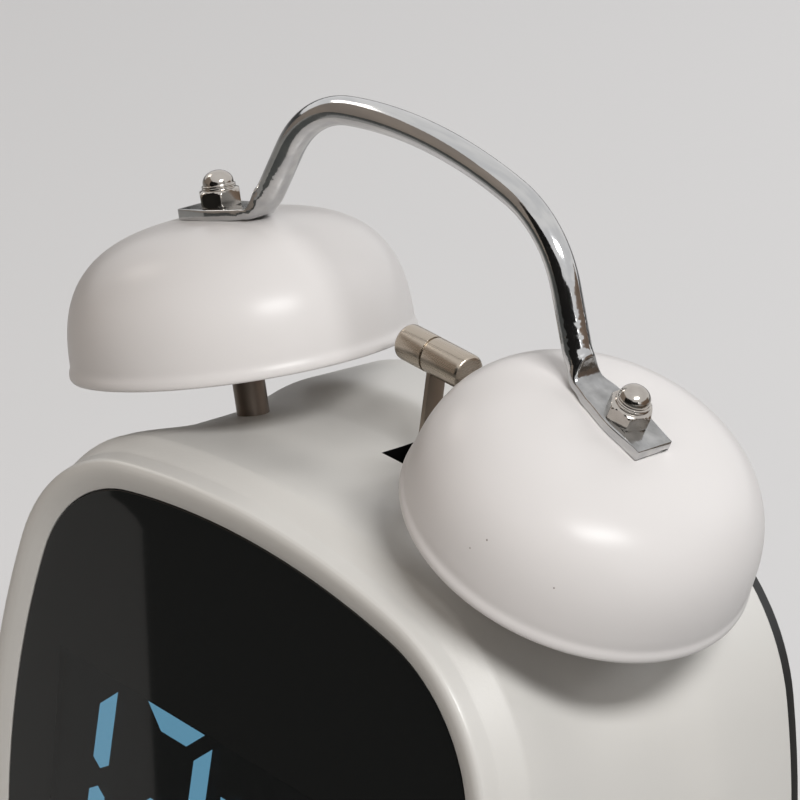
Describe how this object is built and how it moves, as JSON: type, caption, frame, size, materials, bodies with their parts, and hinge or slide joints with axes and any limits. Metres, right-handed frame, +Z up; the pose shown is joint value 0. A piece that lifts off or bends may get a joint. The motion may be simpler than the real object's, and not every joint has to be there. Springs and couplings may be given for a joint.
{
  "type": "runaway alarm clock",
  "caption": "Twin-bell alarm clock with a digital display and two driven side wheels on which it rolls away when it rings.",
  "frame": {"origin": "on the floor, under the middle of the clock, in the plane of the bells and wheel axles", "axes": "+X towards the right as seen from the front, +Y towards the back, +Z up"},
  "size_m": [0.1426, 0.072, 0.1778],
  "materials": {
    "case_white": "satin moulded",
    "window_black": "polished",
    "digit_lit": "glowing",
    "digit_dark": "unlit",
    "block_black": "matte",
    "board_green": "solder mask",
    "screw_steel": "zinc plated",
    "bell_paint": "satin enamel",
    "post_steel": "bronzed",
    "nickel": "nickel plated",
    "handle_chrome": "chrome plated",
    "hammer_nickel": "satin nickel",
    "arm_steel": "bronzed strip",
    "bracket_steel": "zinc plated",
    "iron": "bare soft iron",
    "copper": "enamelled copper wire",
    "cover_black": "fine texture",
    "tray_black": "moulded",
    "contact_steel": "nickel plated",
    "cell_jacket": "printed jacket, plain",
    "speaker_black": "paper cone and frame",
    "magnet": "plated",
    "chip_black": "moulded",
    "key_plastic": "moulded",
    "button_grey": "satin",
    "bush_bronze": "sintered bronze",
    "frame_plastic": "moulded",
    "motor_can": "plated can",
    "gear_plastic": "acetal",
    "pinion_brass": "machined",
    "axle_steel": "ground",
    "hub_white": "satin moulded",
    "tyre_rubber": "moulded rubber",
    "foot_rubber": "hard rubber"
  },
  "bodies": {
    "case": {"case_shell": "case_white", "display_window": "window_black", "lit_segments": "digit_lit", "dark_segments": "digit_dark", "digit_block": "block_black", "display_board": "board_green", "small_screws": "screw_steel", "bell_left": "bell_paint", "bell_right": "bell_paint", "bell_post_left": "post_steel", "bell_post_right": "post_steel", "post_nuts": "screw_steel", "dome_nuts": "nickel", "carry_handle": "handle_chrome", "hammer_bracket": "bracket_steel", "pivot_pin": "axle_steel", "return_spring": "contact_steel", "magnet_cores": "iron", "magnet_coils": "copper", "rear_cover": "cover_black", "cover_screws": "screw_steel", "battery_tray": "tray_black", "battery_contacts": "contact_steel", "battery_cells": "cell_jacket", "speaker_frame": "speaker_black", "speaker_magnet": "magnet", "main_board": "board_green", "board_keys": "key_plastic", "board_chips": "chip_black", "switch_body": "contact_steel", "axle_bushes": "bush_bronze", "drive_frame": "frame_plastic", "motor_left": "motor_can", "motor_right": "motor_can", "glide_studs": "foot_rubber"},
    "hammer": {"hammer_head": "hammer_nickel", "hammer_arm": "arm_steel", "hammer_armature": "iron"},
    "wheel_left": {"wheel_hub_left": "hub_white", "tyre_left": "tyre_rubber", "hub_cap_left": "nickel", "axle_left": "axle_steel", "wheel_gear_left": "gear_plastic"},
    "motor_rotor_left": {"motor_pinion_left": "pinion_brass", "motor_shaft_left": "axle_steel"},
    "wheel_right": {"wheel_hub_right": "hub_white", "tyre_right": "tyre_rubber", "hub_cap_right": "nickel", "axle_right": "axle_steel", "wheel_gear_right": "gear_plastic"},
    "motor_rotor_right": {"motor_pinion_right": "pinion_brass", "motor_shaft_right": "axle_steel"},
    "button_1": {"button_1": "button_grey"},
    "button_2": {"button_2": "button_grey"},
    "button_3": {"button_3": "button_grey"},
    "button_4": {"button_4": "button_grey"},
    "alarm_switch": {"alarm_switch": "button_grey"},
    "battery_door": {"battery_door": "cover_black"}
  },
  "joints": [
    {"name": "hammer_swing", "type": "hinge", "parent": "case", "child": "hammer", "pos_m": [0, 0.0042, 0.0929], "axis": [0, 1, 0], "range_deg": [-5.3, 5.3], "stiffness_Nm_per_rad": 0.02, "deforming": ["return_spring"]},
    {"name": "wheel_left_spin", "type": "hinge", "parent": "case", "child": "wheel_left", "pos_m": [-0.0645, 0, 0.036], "axis": [1, 0, 0], "continuous": true},
    {"name": "motor_left_spin", "type": "hinge", "parent": "case", "child": "motor_rotor_left", "pos_m": [-0.0415, -0.004, 0.05232], "axis": [1, 0, 0], "continuous": true},
    {"name": "wheel_right_spin", "type": "hinge", "parent": "case", "child": "wheel_right", "pos_m": [0.0645, 0, 0.036], "axis": [1, 0, 0], "continuous": true},
    {"name": "motor_right_spin", "type": "hinge", "parent": "case", "child": "motor_rotor_right", "pos_m": [0.0415, -0.004, 0.05232], "axis": [1, 0, 0], "continuous": true},
    {"name": "button_1_press", "type": "slide", "parent": "case", "child": "button_1", "axis": [0, -1, 0], "range_m": [0, 0.001], "stiffness_N_per_m": 1500, "springref_m": -0.0003},
    {"name": "button_2_press", "type": "slide", "parent": "case", "child": "button_2", "axis": [0, -1, 0], "range_m": [0, 0.001], "stiffness_N_per_m": 1500, "springref_m": -0.0003},
    {"name": "button_3_press", "type": "slide", "parent": "case", "child": "button_3", "axis": [0, -1, 0], "range_m": [0, 0.001], "stiffness_N_per_m": 1500, "springref_m": -0.0003},
    {"name": "button_4_press", "type": "slide", "parent": "case", "child": "button_4", "axis": [0, -1, 0], "range_m": [0, 0.001], "stiffness_N_per_m": 1500, "springref_m": -0.0003},
    {"name": "alarm_switch_slide", "type": "slide", "parent": "case", "child": "alarm_switch", "axis": [1, 0, 0], "range_m": [0, 0.004]},
    {"name": "battery_door_slide", "type": "slide", "parent": "case", "child": "battery_door", "axis": [0, 0, -1], "range_m": [0, 0.0055]}
  ],
  "couplings": [
    {"joint": "motor_left_spin", "follows": "wheel_left_spin", "ratio": -2.5},
    {"joint": "motor_right_spin", "follows": "wheel_right_spin", "ratio": -2.5}
  ]
}
